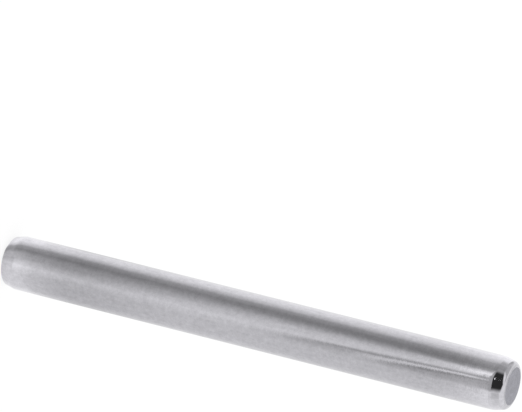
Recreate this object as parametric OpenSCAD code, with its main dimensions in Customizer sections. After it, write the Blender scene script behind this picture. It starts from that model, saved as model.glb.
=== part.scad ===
// Plain axle shaft: one turned and ground steel rod with a tapered, rounded lead-in and a flat face
// at each end. It stands on its lower end face, with its axis along +Z and the origin at the centre
// of that face. All sizes are in millimetres.

/* [Shaft] */
// Ground diameter that wheels, rollers and bearings run on
shaft_d = 8; // [6:0.5:20]
// Overall length, from end face to end face
shaft_len = 80; // [30:1:200]

/* [Ends] */
// Axial length of the lead-in, from the end face to where the taper meets the ground diameter
lead_in_len = 1.9; // [1.6:0.1:3]
// Slope of the lead-in taper against the axis, in degrees
lead_in_angle = 15; // [10:1:25]
// Radius that rounds the corner between the taper and the end face
corner_r = 0.9; // [0.3:0.1:1.2]
// Radius of the tumbled blend between the taper and the ground diameter
blend_r = 3; // [0.5:0.5:4]

/* [Hidden] */
$fn = 96;

shaft_r = shaft_d / 2;

// Each round stands this far proud of true tangency, so that it crosses its neighbours cleanly
proud = 0.0002;

// The taper's own line meets the plane of the end face at this radius
taper_tip_r = shaft_r - lead_in_len * tan(lead_in_angle);

// Corner round, from the end face to the taper
corner_reach = corner_r * tan(45 - lead_in_angle / 2);
end_face_r = taper_tip_r - corner_reach;
corner_start = [end_face_r, 0];
corner_end = [
    taper_tip_r + corner_reach * sin(lead_in_angle),
    corner_reach * cos(lead_in_angle)
];
corner_centre = [end_face_r, corner_r];

// Blend, from the taper to the ground diameter
blend_reach = blend_r * tan(lead_in_angle / 2);
blend_start = [
    shaft_r - blend_reach * sin(lead_in_angle),
    lead_in_len - blend_reach * cos(lead_in_angle)
];
blend_end = [shaft_r, lead_in_len + blend_reach];
blend_centre = [shaft_r - blend_r, lead_in_len + blend_reach];

// Half section of the tapered bar before its edges are rounded, radius along x and height along y
module bar_section() {
    polygon([
        [0, 0],
        [taper_tip_r, 0],
        [shaft_r, lead_in_len],
        [shaft_r, shaft_len - lead_in_len],
        [taper_tip_r, shaft_len],
        [0, shaft_len]
    ]);
}

// What a round takes off: all that lies beyond the chord between its two ends, less the round itself
module round_waste(start, end, centre, radius) {
    chord = end - start;
    outward = [chord.y, -chord.x];
    difference() {
        polygon([
            start - chord,
            start - chord + outward,
            end + chord + outward,
            end + chord
        ]);
        translate(centre)
            circle(radius + proud);
    }
}

// Both rounds of the lower end
module end_waste() {
    round_waste(corner_start, corner_end, corner_centre, corner_r);
    round_waste(blend_start, blend_end, blend_centre, blend_r);
}

// The whole shaft, turned about its axis
module shaft() {
    color([0.73, 0.73, 0.75])
        rotate_extrude()
            difference() {
                bar_section();
                end_waste();
                translate([0, shaft_len])
                    mirror([0, 1])
                        end_waste();
            }
}

shaft();
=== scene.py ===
"""Axle shaft: a plain ground steel rod with a tapered, rounded lead-in and a flat face at each end.

The shaft is turned from a half profile, as on a lathe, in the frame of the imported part. It stands on its
lower end face on a plain pale floor, and the camera sees it from the photograph's angle.
"""

import math

import bpy
from mathutils import Matrix, Vector


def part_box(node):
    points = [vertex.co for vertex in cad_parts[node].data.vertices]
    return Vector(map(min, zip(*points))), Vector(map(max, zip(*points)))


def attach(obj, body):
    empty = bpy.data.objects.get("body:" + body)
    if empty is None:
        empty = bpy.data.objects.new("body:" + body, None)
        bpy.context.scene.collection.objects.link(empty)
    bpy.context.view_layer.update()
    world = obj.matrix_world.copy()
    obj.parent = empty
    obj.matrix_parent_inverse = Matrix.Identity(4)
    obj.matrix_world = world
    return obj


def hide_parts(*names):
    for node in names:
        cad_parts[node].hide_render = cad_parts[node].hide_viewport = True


bl_info = {
    "name": "Axle Shaft",
    "version": (1, 0, 0),
    "blender": (4, 5, 0),
    "location": "3D View > Sidebar > Axle Shaft",
    "description": "Turns a ground steel axle shaft and sets it on a pale studio floor",
    "category": "Object",
}

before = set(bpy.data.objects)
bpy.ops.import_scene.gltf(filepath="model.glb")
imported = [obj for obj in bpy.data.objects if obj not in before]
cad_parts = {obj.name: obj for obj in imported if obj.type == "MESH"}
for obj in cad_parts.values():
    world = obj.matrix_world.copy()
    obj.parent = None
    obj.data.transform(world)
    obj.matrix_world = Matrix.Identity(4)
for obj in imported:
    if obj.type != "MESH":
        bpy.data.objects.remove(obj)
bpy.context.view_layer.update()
SHAFT_LOW, SHAFT_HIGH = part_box("shaft")

MM = 0.001
DEGREE = math.radians(1)

# Sockets of a Mix node that mixes plain numbers
MIX_FROM = 2
MIX_TO = 3

# The photograph's frame in pixels, and the pixel where the middle of the shaft lies
PHOTO_WIDTH = 522
PHOTO_HEIGHT = 412
SHAFT_MIDDLE_PIXEL = (258.43, 322.46)


def linear_from_hex(code):
    """Linear red, green and blue of an sRGB colour such as "C2C2C6"."""
    values = []
    for start in (0, 2, 4):
        share = int(code[start:start + 2], 16) / 255
        if share <= 0.04045:
            values.append(share / 12.92)
        else:
            values.append(((share + 0.055) / 1.055) ** 2.4)
    return tuple(values)


def emptied_tree(owner):
    """Node tree of a new material or world, with nothing in it."""
    owner.use_nodes = True
    owner.node_tree.nodes.clear()
    return owner.node_tree


def add_node(tree, kind, inputs=None, **settings):
    """Adds a node, sets its options, and fills or links its input sockets."""
    node = tree.nodes.new(kind)
    for name, value in settings.items():
        setattr(node, name, value)
    for socket, value in (inputs or {}).items():
        if isinstance(value, bpy.types.NodeSocket):
            tree.links.new(value, node.inputs[socket])
        else:
            node.inputs[socket].default_value = value
    return node


class ShaftSizes(bpy.types.PropertyGroup):
    """Sizes of the turned shaft."""

    diameter: bpy.props.FloatProperty(
        name="Diameter",
        description="Ground diameter of the shaft",
        default=SHAFT_HIGH.x - SHAFT_LOW.x,
        unit="LENGTH",
    )
    length: bpy.props.FloatProperty(
        name="Length",
        description="Length from end face to end face",
        default=SHAFT_HIGH.z - SHAFT_LOW.z,
        unit="LENGTH",
    )
    lead_in_length: bpy.props.FloatProperty(
        name="Lead-in length",
        description="From the end face to where the taper meets the ground diameter",
        default=1.9 * MM,
        unit="LENGTH",
    )
    lead_in_angle: bpy.props.FloatProperty(
        name="Lead-in angle",
        description="Slope of the taper against the axis",
        default=math.radians(15),
        subtype="ANGLE",
    )
    corner_radius: bpy.props.FloatProperty(
        name="Corner radius",
        description="Round between the taper and the end face",
        default=0.9 * MM,
        unit="LENGTH",
    )
    blend_radius: bpy.props.FloatProperty(
        name="Blend radius",
        description="Tumbled blend between the taper and the ground diameter",
        default=3.0 * MM,
        unit="LENGTH",
    )


class ShaftFinish(bpy.types.PropertyGroup):
    """Colours of the shaft's surfaces."""

    ground_colour: bpy.props.FloatVectorProperty(
        name="Ground steel",
        description="Colour of the ground and tumbled surface",
        default=linear_from_hex("C4C3C8"),
        subtype="COLOR",
        size=3,
    )
    # The end faces are the same steel as the side, with a darker colour as painted shade; their satin gloss
    # is their own finish
    face_shaded_colour: bpy.props.FloatVectorProperty(
        name="End face",
        description="Colour of the satin end faces",
        default=linear_from_hex("9B9BA3"),
        subtype="COLOR",
        size=3,
    )


class StageSettings(bpy.types.PropertyGroup):
    """Where the camera stands, and the colour of the floor."""

    elevation: bpy.props.FloatProperty(
        name="Elevation",
        description="Height of the camera above the horizon",
        default=math.radians(20.6),
        subtype="ANGLE",
    )
    roll: bpy.props.FloatProperty(
        name="Roll",
        description="Turn of the camera about its own line of sight, which lays the shaft across the picture",
        default=math.radians(76.2),
        subtype="ANGLE",
    )
    distance: bpy.props.FloatProperty(
        name="Distance",
        description="From the camera to the middle of the shaft",
        default=1.22,
        unit="LENGTH",
    )
    pixels_per_mm: bpy.props.FloatProperty(
        name="Pixels per millimetre",
        description="Scale of the picture at the middle of the shaft",
        default=6.917,
    )
    floor_colour: bpy.props.FloatVectorProperty(
        name="Floor",
        description="Colour of the plain pale floor",
        default=linear_from_hex("F4F4F4"),
        subtype="COLOR",
        size=3,
    )


def ground_steel(colour):
    """Ground and tumbled bearing steel: bright, with a fine lay round the shaft that softens what it mirrors,
    faint rubbed streaks along it from handling, and a slight cloudiness from tumbling."""
    # The lay's marks are really about 0.02 mm apart, and are drawn coarser so that they show
    lay_gap = 0.25 * MM
    lay_length = 5 * MM
    streak_width = 0.4 * MM
    streak_length = 3 * MM
    streak_share = 0.4
    # The cloud's patches have smaller ones in them, down to a quarter of this size
    cloud_size = 0.8 * MM
    cloud_depth = 0.003 * MM
    lay_depth = 0.01 * MM

    material = bpy.data.materials.new("ground_tumbled_steel")
    tree = emptied_tree(material)
    coords = add_node(tree, "ShaderNodeTexCoord")
    lay_place = add_node(
        tree, "ShaderNodeMapping",
        {"Vector": coords.outputs["Object"], "Scale": (1 / lay_length, 1 / lay_length, 1 / lay_gap)},
    )
    lay = add_node(
        tree, "ShaderNodeTexNoise",
        {"Vector": lay_place.outputs["Vector"], "Scale": 1.0, "Detail": 3.0, "Roughness": 0.6},
    )
    streak_place = add_node(
        tree, "ShaderNodeMapping",
        {"Vector": coords.outputs["Object"],
         "Scale": (1 / streak_width, 1 / streak_width, 1 / streak_length)},
    )
    streaks = add_node(
        tree, "ShaderNodeTexNoise",
        {"Vector": streak_place.outputs["Vector"], "Scale": 1.0, "Detail": 2.0, "Roughness": 0.5},
    )
    cloud = add_node(
        tree, "ShaderNodeTexNoise",
        {"Vector": coords.outputs["Object"], "Scale": 1 / cloud_size, "Detail": 2.0, "Roughness": 0.9},
    )

    # Streaks and cloud vary the tone by about a tenth either way
    tone_mix = add_node(
        tree, "ShaderNodeMath",
        {0: streaks.outputs["Fac"], 1: streak_share, 2: cloud.outputs["Fac"]},
        operation="MULTIPLY_ADD",
    )
    tone = add_node(
        tree, "ShaderNodeMapRange",
        {"Value": tone_mix.outputs["Value"], "From Min": 0.45, "From Max": 0.95,
         "To Min": 0.89, "To Max": 1.11},
    )
    tinted = add_node(
        tree, "ShaderNodeVectorMath",
        {0: colour, "Scale": tone.outputs["Result"]},
        operation="SCALE",
    )

    # Lay and cloud vary the gloss and make the relief
    gloss_mix = add_node(
        tree, "ShaderNodeMath",
        {0: lay.outputs["Fac"], 1: cloud.outputs["Fac"]},
        operation="ADD",
    )
    gloss = add_node(
        tree, "ShaderNodeMapRange",
        {"Value": gloss_mix.outputs["Value"], "From Min": 0.6, "From Max": 1.4,
         "To Min": 0.04, "To Max": 0.08},
    )
    waves = add_node(
        tree, "ShaderNodeBump",
        {"Height": cloud.outputs["Fac"], "Strength": 1.0, "Distance": cloud_depth},
    )
    relief = add_node(
        tree, "ShaderNodeBump",
        {"Height": lay.outputs["Fac"], "Strength": 0.1, "Distance": lay_depth,
         "Normal": waves.outputs["Normal"]},
    )
    shader = add_node(
        tree, "ShaderNodeBsdfPrincipled",
        {"Base Color": tinted.outputs["Vector"], "Metallic": 1.0, "Roughness": gloss.outputs["Result"],
         "Normal": relief.outputs["Normal"]},
    )
    add_node(tree, "ShaderNodeOutputMaterial", {"Surface": shader.outputs["BSDF"]})
    return material


def satin_end_steel(colour):
    """Turned and tumbled steel of the end faces: satin, with a grey darker than the side's steel as painted
    shade, faint rings about the axis and a fine grain."""
    # The turning feed is really about 0.05 mm, and its rings are drawn wider apart so that they show
    ring_gap = 0.3 * MM
    ring_share = 0.4
    # The grain's patches have dents in them, down to a quarter of this size
    grain_size = 1 * MM
    relief_depth = 0.01 * MM

    material = bpy.data.materials.new("turned_satin_steel")
    tree = emptied_tree(material)
    coords = add_node(tree, "ShaderNodeTexCoord")
    flat = add_node(
        tree, "ShaderNodeVectorMath",
        {0: coords.outputs["Object"], 1: (1.0, 1.0, 0.0)},
        operation="MULTIPLY",
    )
    radius = add_node(tree, "ShaderNodeVectorMath", {0: flat.outputs["Vector"]}, operation="LENGTH")
    rings = add_node(
        tree, "ShaderNodeTexNoise",
        {"W": radius.outputs["Value"], "Scale": 1 / ring_gap, "Detail": 2.0},
        noise_dimensions="1D",
    )
    grain = add_node(
        tree, "ShaderNodeTexNoise",
        {"Vector": coords.outputs["Object"], "Scale": 1 / grain_size, "Detail": 3.0, "Roughness": 0.7},
    )

    # Rings and grain together vary the tone and make the relief, and the grain alone varies the gloss
    height = add_node(
        tree, "ShaderNodeMath",
        {0: rings.outputs["Fac"], 1: ring_share, 2: grain.outputs["Fac"]},
        operation="MULTIPLY_ADD",
    )
    tone = add_node(
        tree, "ShaderNodeMapRange",
        {"Value": height.outputs["Value"], "From Min": 0.5, "From Max": 0.9, "To Min": 0.82, "To Max": 1.18},
    )
    tinted = add_node(
        tree, "ShaderNodeVectorMath",
        {0: colour, "Scale": tone.outputs["Result"]},
        operation="SCALE",
    )
    gloss = add_node(
        tree, "ShaderNodeMapRange",
        {"Value": grain.outputs["Fac"], "From Min": 0.3, "From Max": 0.7, "To Min": 0.34, "To Max": 0.44},
    )
    relief = add_node(
        tree, "ShaderNodeBump",
        {"Height": height.outputs["Value"], "Strength": 0.2, "Distance": relief_depth},
    )
    shader = add_node(
        tree, "ShaderNodeBsdfPrincipled",
        {"Base Color": tinted.outputs["Vector"], "Metallic": 1.0, "Roughness": gloss.outputs["Result"],
         "Normal": relief.outputs["Normal"]},
    )
    add_node(tree, "ShaderNodeOutputMaterial", {"Surface": shader.outputs["BSDF"]})
    return material


class AXLE_OT_turn_shaft(bpy.types.Operator):
    """Draws the half profile of the shaft, turns it about the axis and finishes its surfaces"""

    bl_idname = "axle.turn_shaft"
    bl_label = "Turn Shaft"

    # Steps of the whole turn and of the two rounds
    TURN_STEPS = 192
    CORNER_STEPS = 14
    BLEND_STEPS = 10

    # Width of the guard rings beside the rounds, and the gap below which points are one
    GUARD = 0.03 * MM
    MERGE_GAP = 0.001 * MM

    # A face this close to level belongs to an end face
    LEVEL_NORMAL = 0.9999

    def line_to(self, point):
        """Extrudes the last point of the profile to a new place."""
        here = self.last_point()
        bpy.ops.mesh.extrude_vertices_move(TRANSFORM_OT_translate={"value": tuple(point - here)})

    def last_point(self):
        """The selected end of the profile."""
        mesh = bpy.context.edit_object.data
        bpy.ops.object.mode_set(mode="OBJECT")
        chosen = [vertex.co.copy() for vertex in mesh.vertices if vertex.select]
        bpy.ops.object.mode_set(mode="EDIT")
        if len(chosen) != 1:
            raise RuntimeError(f"the profile should have one selected end, and has {len(chosen)}")
        return chosen[0]

    def guarded_line_to(self, point):
        """A straight run with a short guard at each end, which keeps the shading of the run true."""
        start = self.last_point()
        step = (point - start).normalized() * self.GUARD
        self.line_to(start + step)
        self.line_to(point - step)
        self.line_to(point)

    def arc_about(self, centre, angle, steps):
        """Turns the last point of the profile about a centre, upwards round the outside."""
        bpy.ops.mesh.spin(steps=steps, angle=angle, center=centre, axis=(0, 1, 0))

    def execute(self, context):
        sizes = context.scene.axle_sizes
        radius = sizes.diameter / 2
        angle = sizes.lead_in_angle
        lead_in = sizes.lead_in_length
        corner_turn = math.pi / 2 - angle
        corner_reach = sizes.corner_radius * math.tan(corner_turn / 2)
        blend_reach = sizes.blend_radius * math.tan(angle / 2)
        tip_radius = radius - lead_in * math.tan(angle)
        face_radius = tip_radius - corner_reach
        slope = Vector((math.sin(angle), 0, math.cos(angle)))
        back_slope = Vector((-math.sin(angle), 0, math.cos(angle)))
        top = sizes.length
        blend_height = lead_in + blend_reach

        # The profile starts from a plane that is merged to one point on the axis
        bpy.ops.object.select_all(action="DESELECT")
        bpy.ops.mesh.primitive_plane_add(size=1 * MM, location=(0, 0, 0))
        shaft = context.object
        shaft.name = "ground_shaft"
        shaft.data.name = "ground_shaft"
        bpy.ops.object.mode_set(mode="EDIT")
        bpy.ops.mesh.select_mode(type="VERT")
        bpy.ops.mesh.merge(type="CENTER")

        # Lower face, corner, taper, blend and side, then the same upwards to the upper face
        self.guarded_line_to(Vector((face_radius, 0, 0)))
        self.arc_about((face_radius, 0, sizes.corner_radius), corner_turn, self.CORNER_STEPS)
        self.guarded_line_to(Vector((radius, 0, lead_in)) - slope * blend_reach)
        self.arc_about((radius - sizes.blend_radius, 0, blend_height), angle, self.BLEND_STEPS)
        self.guarded_line_to(Vector((radius, 0, top - blend_height)))
        self.arc_about((radius - sizes.blend_radius, 0, top - blend_height), angle, self.BLEND_STEPS)
        self.guarded_line_to(Vector((tip_radius, 0, top)) - back_slope * corner_reach)
        self.arc_about((face_radius, 0, top - sizes.corner_radius), corner_turn, self.CORNER_STEPS)
        self.guarded_line_to(Vector((0, 0, top)))

        bpy.ops.mesh.select_all(action="SELECT")
        bpy.ops.mesh.spin(steps=self.TURN_STEPS, angle=2 * math.pi, center=(0, 0, 0), axis=(0, 0, 1))
        bpy.ops.mesh.select_all(action="SELECT")
        bpy.ops.mesh.remove_doubles(threshold=self.MERGE_GAP)
        bpy.ops.mesh.normals_make_consistent(inside=False)
        bpy.ops.object.mode_set(mode="OBJECT")
        bpy.ops.object.shade_smooth()

        finish = context.scene.axle_finish
        shaft.data.materials.append(ground_steel(tuple(finish.ground_colour)))
        shaft.data.materials.append(satin_end_steel(tuple(finish.face_shaded_colour)))
        for polygon in shaft.data.polygons:
            if abs(polygon.normal.z) > self.LEVEL_NORMAL:
                polygon.material_index = 1

        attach(shaft, "root")
        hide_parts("shaft")
        return {"FINISHED"}


class AXLE_OT_set_stage(bpy.types.Operator):
    """Lays the floor, lights the studio and places the camera"""

    bl_idname = "axle.set_stage"
    bl_label = "Set Stage"

    # Bright steel shows what stands round it, so these values give a painted reflection, which the floor
    # shows only to the steel, and the light tent of the world. A bearing about the shaft is in degrees, with
    # 0 towards the camera and minus on the side that lies up in the picture. A height above the horizon is in
    # degrees, and a distance from the shaft's axis in
    # millimetres. A limit is a pair: where it starts to count, and where it counts in full.

    # Painted reflection: brightness that the floor shows to the steel by bearing, close to the foot and far
    # from it
    NEAR_SURROUND = (
        (-180, 0.92),
        (-140, 1.2),
        (-112, 1.16),
        (-91, 0.8),
        (-80, 0.52),
        (-60, 0.37),
        (-41, 0.53),
        (-24, 0.6),
        (12, 1.03),
        (45, 0.86),
        (110, 0.88),
        (140, 0.97),
        (180, 0.92),
    )
    FAR_SURROUND = (
        (-180, 0.9),
        (-140, 1.18),
        (-111, 1.07),
        (-91, 0.74),
        (-80, 0.47),
        (-62, 0.335),
        (-50, 0.32),
        (-41, 0.43),
        (-24, 0.84),
        (-14, 0.98),
        (10, 0.98),
        (28, 0.87),
        (90, 0.86),
        (140, 0.94),
        (180, 0.9),
    )
    NEAR = 20
    FAR = 210

    # Gain of that brightness by distance
    GAIN = (
        (4, 1.1),
        (5, 1.2),
        (8, 1.24),
        (12, 1.22),
        (16, 1.06),
        (20, 1.0),
        (30, 0.87),
        (40, 0.87),
        (75, 1.0),
        (200, 1.0),
        (240, 1.24),
    )

    # A line of sight from the shaft's side starts about this far from the axis
    SIGHT_START = 2

    # Painted dark strips, which only the steel mirrors, lie across the floor in front. Their place is the
    # distance square to them, towards this bearing. They fade in along their length, and the first one
    # spreads towards the shaft at its far end.
    STRIP_BEARING = 44
    STRIPS = (
        (120, 1.0),
        (133, 0.75),
        (141, 0.5),
        (148, 0.56),
        (158, 1.0),
        (166, 1.02),
        (174, 0.46),
        (181, 0.37),
        (190, 0.57),
        (240, 0.64),
    )
    STRIP_FADE = ((-35, 100),)
    SPREAD = 13
    SPREAD_SQUARE = ((158, 128),)
    SPREAD_ALONG = ((115, 65),)

    # A painted pool of light, which only the steel mirrors, lies between the strips and the dark side, far in
    # front
    POOL_GAIN = 0.3
    POOL_ALONG = ((175, 205),)
    POOL_SQUARE = ((25, 60), (134, 112))

    # Close to the foot the floor's painted reflection is paler, as painted light from all sides, so that even
    # its dark side is paler
    FOOT_LEVEL = 1.05
    FOOT_SHARE = 0.2
    FOOT_DISTANCE = ((7, 4.5),)

    # Soft patches of painted light and shade in the floor's reflection: bearing, distance, and the gain of
    # the brightness there
    PATCHES = (
        # The dark side, close to the foot
        (((-92, -76), (-40, -56)), ((0, 1), (20, 12)), 0.87),
        # In front of the foot
        (((-25, -12), (36, 20)), ((0, 1), (10, 7)), 0.83),
        # The front edge
        (((-92, -80), (125, 100)), ((214, 232), (300, 250)), 1.15),
        # The middle of the front edge
        (((-16, -10), (7, 1)), ((223, 229), (300, 250)), 0.72),
        # The near side of the pool
        (((-46, -36), (-6, -14)), ((200, 209), (228, 218)), 0.88),
        # Beside the second strip
        (((24, 34), (74, 58)), ((170, 182), (240, 226)), 0.93),
        # Between the strips, at their far end
        (((16, 26), (54, 42)), ((146, 154), (172, 162)), 0.9),
        # The pale side, close to the foot and further out
        (((-165, -140), (-80, -100)), ((5, 8), (15, 10)), 0.91),
        (((-165, -140), (-80, -100)), ((20, 28), (66, 46)), 1.1),
    )

    # Painted shade: past a painted front edge, about 230 mm out, the floor's reflection is darker
    EDGE_LEVEL = 0.56
    EDGE_DISTANCE = ((226, 234),)
    EDGE_BEARING = ((-26, -16), (48, 34))

    # The tent's walls carry on from the far floor, and its roof is pale, least so above the dark side
    WALL_GAIN = 1.1
    ROOF_LEVEL = 1.12
    ROOF_HEIGHT = ((-4, 34),)
    GREY_ROOF_LEVEL = 0.66
    GREY_ROOF_BEARING = ((-48, -66), (-160, -115))

    # The back of the tent is greyer, by its bearing to either side
    BACK_LEVEL = 0.74
    BACK_BEARING = ((145, 175),)
    BACK_HEIGHT = ((66, 40), (8, 40))

    # A grey seam stands beside the dark side, and a post beside the opening
    SEAM_LEVEL = 0.62
    SEAM_BEARING = ((-78, -92), (-146, -132))
    SEAM_HEIGHT = ((-1, 2.5), (28, 16))
    POST_LEVEL = 0.82
    POST_BEARING = ((42, 50), (82, 70))
    POST_HEIGHT = ((1, 5), (14, 11))

    # The tent's opening, towards the camera, shows a dark room. Its gable narrows upwards to either side of a
    # middle, and its sill rises from a start towards the dark side.
    ROOM_LEVEL = 0.04
    OPENING_BEARING = ((-56, -36), (50, 23))
    GABLE_HEIGHT = ((74, 50),)
    GABLE_MIDDLE = 6
    GABLE_SLOPE = 0.72
    SILL_HEIGHT = ((-11, -1),)
    SILL_START = -8
    SILL_SLOPE = 0.3

    # A small lamp stands in the room
    LAMP_LEVEL = 3.6
    LAMP_BEARING = ((-18.5, -15), (-8.5, -12))
    LAMP_HEIGHT = ((6.8, 8.4), (9.8, 9))

    # The floor is round, with its radius in metres. The glow is the share of its white that the camera sees
    # as its own light, so that the shadow on it stays soft.
    FLOOR_RADIUS = 3.0
    FLOOR_SIDES = 96
    FLOOR_GLOW = 0.88

    # Side and height of the softbox in metres, and its power in watts
    SOFTBOX_SIDE = 1.0
    SOFTBOX_HEIGHT = 1.0
    SOFTBOX_POWER = 7.0

    # Width of the camera's sensor in millimetres, and how far it sees in metres
    SENSOR_WIDTH = 36
    SIGHT_END = 20

    def graded(self, tree, value, stops, unit):
        """Brightness graded along a value, from stops that give a place in the unit with its brightness."""
        low = stops[0][0]
        high = stops[-1][0]
        share = add_node(
            tree, "ShaderNodeMapRange", {"Value": value, "From Min": low * unit, "From Max": high * unit},
        )
        node = add_node(tree, "ShaderNodeValToRGB", {"Fac": share.outputs["Result"]})
        ramp = node.color_ramp
        ramp.elements.remove(ramp.elements[1])
        for index, (place, level) in enumerate(stops):
            position = (place - low) / (high - low)
            stop = ramp.elements[0] if index == 0 else ramp.elements.new(position)
            stop.position = position
            stop.color = (level, level, level, 1)
        return node.outputs["Color"]

    def inside(self, tree, *bounds):
        """How far inside all its bounds a place is, from 0 to 1. A bound is a value, the unit of its limits
        and the limits."""
        share = None
        for value, unit, limits in bounds:
            for start, full in limits:
                rise = add_node(
                    tree, "ShaderNodeMapRange",
                    {"Value": value, "From Min": start * unit, "From Max": full * unit},
                    interpolation_type="SMOOTHSTEP",
                ).outputs["Result"]
                if share is None:
                    share = rise
                else:
                    both = add_node(tree, "ShaderNodeMath", {0: share, 1: rise}, operation="MULTIPLY")
                    share = both.outputs["Value"]
        return share

    def bearing_of(self, tree, place):
        """Bearing of a place about the shaft in radians, with 0 towards the camera."""
        way = add_node(tree, "ShaderNodeSeparateXYZ", {"Vector": place})
        towards = add_node(tree, "ShaderNodeMath", {0: way.outputs["Y"], 1: -1.0}, operation="MULTIPLY")
        bearing = add_node(
            tree, "ShaderNodeMath", {0: way.outputs["X"], 1: towards.outputs["Value"]}, operation="ARCTAN2",
        )
        return bearing.outputs["Value"]

    def painted_strips_and_pool(self, tree, place):
        """Gains of the painted reflection's brightness from the painted dark strips and from the painted pool
        of light.
        """
        lean = self.STRIP_BEARING * DEGREE
        square = add_node(
            tree, "ShaderNodeVectorMath",
            {0: place, 1: (math.sin(lean), -math.cos(lean), 0)},
            operation="DOT_PRODUCT",
        ).outputs["Value"]
        along = add_node(
            tree, "ShaderNodeVectorMath",
            {0: place, 1: (-math.cos(lean), -math.sin(lean), 0)},
            operation="DOT_PRODUCT",
        ).outputs["Value"]

        spread = self.inside(tree, (square, MM, self.SPREAD_SQUARE), (along, MM, self.SPREAD_ALONG))
        spread_place = add_node(
            tree, "ShaderNodeMath", {0: spread, 1: self.SPREAD * MM, 2: square}, operation="MULTIPLY_ADD",
        )
        strips = add_node(
            tree, "ShaderNodeMix",
            {"Factor": self.inside(tree, (along, MM, self.STRIP_FADE)),
             MIX_FROM: 1.0,
             MIX_TO: self.graded(tree, spread_place.outputs["Value"], self.STRIPS, MM)},
        )

        pool = self.inside(tree, (along, MM, self.POOL_ALONG), (square, MM, self.POOL_SQUARE))
        pool_gain = add_node(
            tree, "ShaderNodeMath", {0: pool, 1: self.POOL_GAIN, 2: 1.0}, operation="MULTIPLY_ADD",
        )
        return [strips.outputs[0], pool_gain.outputs["Value"]]

    def painted_floor_reflection(self, tree):
        """Painted reflection: brightness that the floor shows only to the steel, graded as a table under a
        light tent would look in it.
        """
        place = add_node(tree, "ShaderNodeTexCoord").outputs["Object"]
        distance = add_node(tree, "ShaderNodeVectorMath", {0: place}, operation="LENGTH").outputs["Value"]

        # The bearing is that of the line of sight from the shaft's side. From the axis it looks smaller, by
        # as much as the start of the sight counts in the distance.
        from_axis = self.bearing_of(tree, place)
        clear = add_node(
            tree, "ShaderNodeMath", {0: distance, 1: self.SIGHT_START * MM}, operation="SUBTRACT",
        )
        stretch = add_node(
            tree, "ShaderNodeMath", {0: distance, 1: clear.outputs["Value"]}, operation="DIVIDE",
        )
        bearing = add_node(
            tree, "ShaderNodeMath", {0: from_axis, 1: stretch.outputs["Value"]}, operation="MULTIPLY",
        ).outputs["Value"]
        farness = add_node(
            tree, "ShaderNodeMapRange",
            {"Value": distance, "From Min": self.NEAR * MM, "From Max": self.FAR * MM},
        )
        surround = add_node(
            tree, "ShaderNodeMix",
            {"Factor": farness.outputs["Result"],
             MIX_FROM: self.graded(tree, bearing, self.NEAR_SURROUND, DEGREE),
             MIX_TO: self.graded(tree, bearing, self.FAR_SURROUND, DEGREE)},
        )
        foot = self.inside(tree, (distance, MM, self.FOOT_DISTANCE))
        foot_share = add_node(tree, "ShaderNodeMath", {0: foot, 1: self.FOOT_SHARE}, operation="MULTIPLY")
        level = add_node(
            tree, "ShaderNodeMix",
            {"Factor": foot_share.outputs["Value"], MIX_FROM: surround.outputs[0], MIX_TO: self.FOOT_LEVEL},
        ).outputs[0]

        gains = [self.graded(tree, distance, self.GAIN, MM)]
        gains.extend(self.painted_strips_and_pool(tree, place))
        for bearings, distances, patch_gain in self.PATCHES:
            patch = self.inside(tree, (bearing, DEGREE, bearings), (distance, MM, distances))
            mixed = add_node(
                tree, "ShaderNodeMix", {"Factor": patch, MIX_FROM: 1.0, MIX_TO: patch_gain},
            )
            gains.append(mixed.outputs[0])
        for gain in gains:
            gained = add_node(tree, "ShaderNodeMath", {0: level, 1: gain}, operation="MULTIPLY")
            level = gained.outputs["Value"]

        beyond = self.inside(tree, (distance, MM, self.EDGE_DISTANCE), (bearing, DEGREE, self.EDGE_BEARING))
        edged = add_node(
            tree, "ShaderNodeMix", {"Factor": beyond, MIX_FROM: level, MIX_TO: self.EDGE_LEVEL},
        )
        return edged.outputs[0]

    def lay_floor(self, settings):
        """A plain pale floor that stays white to the camera and keeps the shaft's soft shadow, and shows the
        steel a painted reflection.
        """
        bpy.ops.object.select_all(action="DESELECT")
        bpy.ops.mesh.primitive_circle_add(
            vertices=self.FLOOR_SIDES, radius=self.FLOOR_RADIUS, fill_type="NGON", location=(0, 0, 0),
        )
        floor = bpy.context.object
        floor.name = "floor"
        material = bpy.data.materials.new("pale_floor_painted_reflection")
        tree = emptied_tree(material)
        # Painted reflection: an emission that only glossy rays see, graded with painted light and shade
        reflection_paint = add_node(tree, "ShaderNodeEmission", {"Strength": self.painted_floor_reflection(tree)})
        ray = add_node(tree, "ShaderNodeLightPath")
        paint = add_node(tree, "ShaderNodeBsdfDiffuse", {"Color": (*settings.floor_colour, 1)})
        glow = add_node(tree, "ShaderNodeEmission", {"Strength": 1.0})
        share = add_node(
            tree, "ShaderNodeMath",
            {0: ray.outputs["Is Camera Ray"], 1: self.FLOOR_GLOW},
            operation="MULTIPLY",
        )
        shown = add_node(
            tree, "ShaderNodeMixShader",
            {"Fac": share.outputs["Value"], 1: paint.outputs["BSDF"], 2: glow.outputs["Emission"]},
        )
        # Glossy rays see the painted reflection instead of the floor's white
        both = add_node(
            tree, "ShaderNodeMixShader",
            {"Fac": ray.outputs["Is Glossy Ray"], 1: shown.outputs["Shader"],
             2: reflection_paint.outputs["Emission"]},
        )
        add_node(tree, "ShaderNodeOutputMaterial", {"Surface": both.outputs["Shader"]})
        floor.data.materials.append(material)

    def hang_softbox(self):
        """A large soft lamp straight above, which lights the floor and throws a shadow close to the foot."""
        bpy.ops.object.light_add(type="AREA", location=(0, 0, self.SOFTBOX_HEIGHT))
        softbox = bpy.context.object
        softbox.name = "softbox"
        softbox.data.shape = "SQUARE"
        softbox.data.size = self.SOFTBOX_SIDE
        softbox.data.energy = self.SOFTBOX_POWER
        softbox.visible_glossy = False

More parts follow.
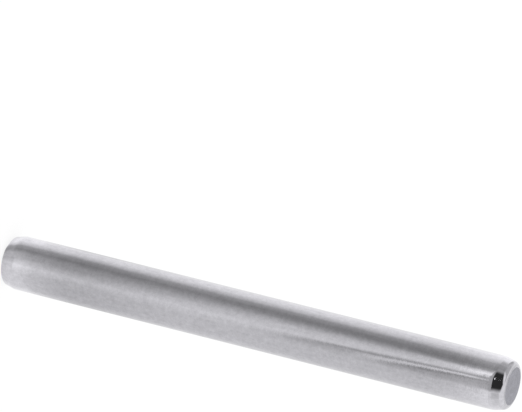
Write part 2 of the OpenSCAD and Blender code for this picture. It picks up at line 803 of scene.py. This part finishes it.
    def light_studio(self):
        """A light tent with a dark gap on one side, and an opening behind the camera with a dark room and a
        small lamp beyond it, which only the lead-in mirrors."""
        world = bpy.data.worlds.new("studio")
        bpy.context.scene.world = world
        tree = emptied_tree(world)
        way = add_node(tree, "ShaderNodeTexCoord").outputs["Generated"]
        bearing = self.bearing_of(tree, way)
        split = add_node(tree, "ShaderNodeSeparateXYZ", {"Vector": way})
        height = add_node(
            tree, "ShaderNodeMath", {0: split.outputs["Z"]}, operation="ARCSINE",
        ).outputs["Value"]

        surround = self.graded(tree, bearing, self.FAR_SURROUND, DEGREE)
        walls = add_node(tree, "ShaderNodeMath", {0: surround, 1: self.WALL_GAIN}, operation="MULTIPLY")
        roof_level = add_node(
            tree, "ShaderNodeMix",
            {"Factor": self.inside(tree, (bearing, DEGREE, self.GREY_ROOF_BEARING)),
             MIX_FROM: self.ROOF_LEVEL,
             MIX_TO: self.GREY_ROOF_LEVEL},
        )
        level = add_node(
            tree, "ShaderNodeMix",
            {"Factor": self.inside(tree, (height, DEGREE, self.ROOF_HEIGHT)),
             MIX_FROM: walls.outputs["Value"],
             MIX_TO: roof_level.outputs[0]},
        ).outputs[0]

        to_either_side = add_node(
            tree, "ShaderNodeMath", {0: bearing}, operation="ABSOLUTE",
        ).outputs["Value"]
        off_middle = add_node(
            tree, "ShaderNodeMath", {0: bearing, 1: self.GABLE_MIDDLE * DEGREE}, operation="SUBTRACT",
        )
        sideways = add_node(tree, "ShaderNodeMath", {0: off_middle.outputs["Value"]}, operation="ABSOLUTE")
        gable = add_node(
            tree, "ShaderNodeMath",
            {0: sideways.outputs["Value"], 1: self.GABLE_SLOPE, 2: height},
            operation="MULTIPLY_ADD",
        ).outputs["Value"]
        past_start = add_node(
            tree, "ShaderNodeMath", {0: bearing, 1: self.SILL_START * DEGREE}, operation="SUBTRACT",
        )
        dark_way = add_node(
            tree, "ShaderNodeMath", {0: past_start.outputs["Value"], 1: 0.0}, operation="MINIMUM",
        )
        sill = add_node(
            tree, "ShaderNodeMath",
            {0: dark_way.outputs["Value"], 1: self.SILL_SLOPE, 2: height},
            operation="MULTIPLY_ADD",
        ).outputs["Value"]

        # Back, seam, post, opening and lamp, each in front of the one before
        back = ((to_either_side, DEGREE, self.BACK_BEARING), (height, DEGREE, self.BACK_HEIGHT))
        seam = ((bearing, DEGREE, self.SEAM_BEARING), (height, DEGREE, self.SEAM_HEIGHT))
        post = ((bearing, DEGREE, self.POST_BEARING), (height, DEGREE, self.POST_HEIGHT))
        opening = (
            (bearing, DEGREE, self.OPENING_BEARING),
            (sill, DEGREE, self.SILL_HEIGHT),
            (gable, DEGREE, self.GABLE_HEIGHT),
        )
        lamp = ((bearing, DEGREE, self.LAMP_BEARING), (height, DEGREE, self.LAMP_HEIGHT))
        for bounds, own_level in (
            (back, self.BACK_LEVEL),
            (seam, self.SEAM_LEVEL),
            (post, self.POST_LEVEL),
            (opening, self.ROOM_LEVEL),
            (lamp, self.LAMP_LEVEL),
        ):
            mixed = add_node(
                tree, "ShaderNodeMix",
                {"Factor": self.inside(tree, *bounds), MIX_FROM: level, MIX_TO: own_level},
            )
            level = mixed.outputs[0]

        # The camera sees plain white
        ray = add_node(tree, "ShaderNodeLightPath")
        seen = add_node(
            tree, "ShaderNodeMix",
            {"Factor": ray.outputs["Is Camera Ray"], MIX_FROM: level, MIX_TO: 1.0},
        )
        backdrop = add_node(
            tree, "ShaderNodeBackground", {"Color": (1, 1, 1, 1), "Strength": seen.outputs[0]},
        )
        add_node(tree, "ShaderNodeOutputWorld", {"Surface": backdrop.outputs["Background"]})

    def place_camera(self, settings, middle):
        """Stands the camera at the photograph's angle, with the middle of the shaft at its pixel."""
        elevation = settings.elevation
        back = Vector((0, -math.cos(elevation), math.sin(elevation)))
        level_right = Vector((1, 0, 0))
        level_up = Vector((0, math.sin(elevation), math.cos(elevation)))
        right = level_up * math.sin(settings.roll) - level_right * math.cos(settings.roll)
        up = -level_up * math.cos(settings.roll) - level_right * math.sin(settings.roll)
        scale = settings.pixels_per_mm / MM
        across = (SHAFT_MIDDLE_PIXEL[0] - PHOTO_WIDTH / 2) / scale
        down = (SHAFT_MIDDLE_PIXEL[1] - PHOTO_HEIGHT / 2) / scale
        bpy.ops.object.camera_add()
        camera = bpy.context.object
        camera.name = "camera"
        place = Matrix((right, up, back)).transposed().to_4x4()
        place.translation = middle + back * settings.distance - right * across + up * down
        camera.matrix_world = place
        camera.data.sensor_width = self.SENSOR_WIDTH
        camera.data.lens = scale * settings.distance * self.SENSOR_WIDTH / PHOTO_WIDTH
        camera.data.clip_end = self.SIGHT_END
        bpy.context.scene.camera = camera

    def execute(self, context):
        settings = context.scene.axle_stage
        self.lay_floor(settings)
        self.light_studio()
        self.hang_softbox()
        self.place_camera(settings, (SHAFT_LOW + SHAFT_HIGH) / 2)
        context.scene.view_settings.view_transform = "Standard"
        return {"FINISHED"}


class AXLE_PT_panel(bpy.types.Panel):
    """Sizes, colours and steps of the axle shaft"""

    bl_idname = "AXLE_PT_panel"
    bl_label = "Axle Shaft"
    bl_space_type = "VIEW_3D"
    bl_region_type = "UI"
    bl_category = "Axle Shaft"

    def draw(self, context):
        layout = self.layout
        for settings in (context.scene.axle_sizes, context.scene.axle_finish, context.scene.axle_stage):
            box = layout.box()
            for name in settings.__annotations__:
                box.prop(settings, name)
        for operator in OPERATORS:
            layout.operator(operator.bl_idname)


OPERATORS = (AXLE_OT_turn_shaft, AXLE_OT_set_stage)
CLASSES = (ShaftSizes, ShaftFinish, StageSettings, *OPERATORS, AXLE_PT_panel)


def register():
    for item in CLASSES:
        bpy.utils.register_class(item)
    bpy.types.Scene.axle_sizes = bpy.props.PointerProperty(type=ShaftSizes)
    bpy.types.Scene.axle_finish = bpy.props.PointerProperty(type=ShaftFinish)
    bpy.types.Scene.axle_stage = bpy.props.PointerProperty(type=StageSettings)


def unregister():
    del bpy.types.Scene.axle_stage
    del bpy.types.Scene.axle_finish
    del bpy.types.Scene.axle_sizes
    for item in reversed(CLASSES):
        bpy.utils.unregister_class(item)


def main():
    register()
    bpy.ops.axle.turn_shaft()
    bpy.ops.axle.set_stage()


if __name__ == "__main__":
    main()
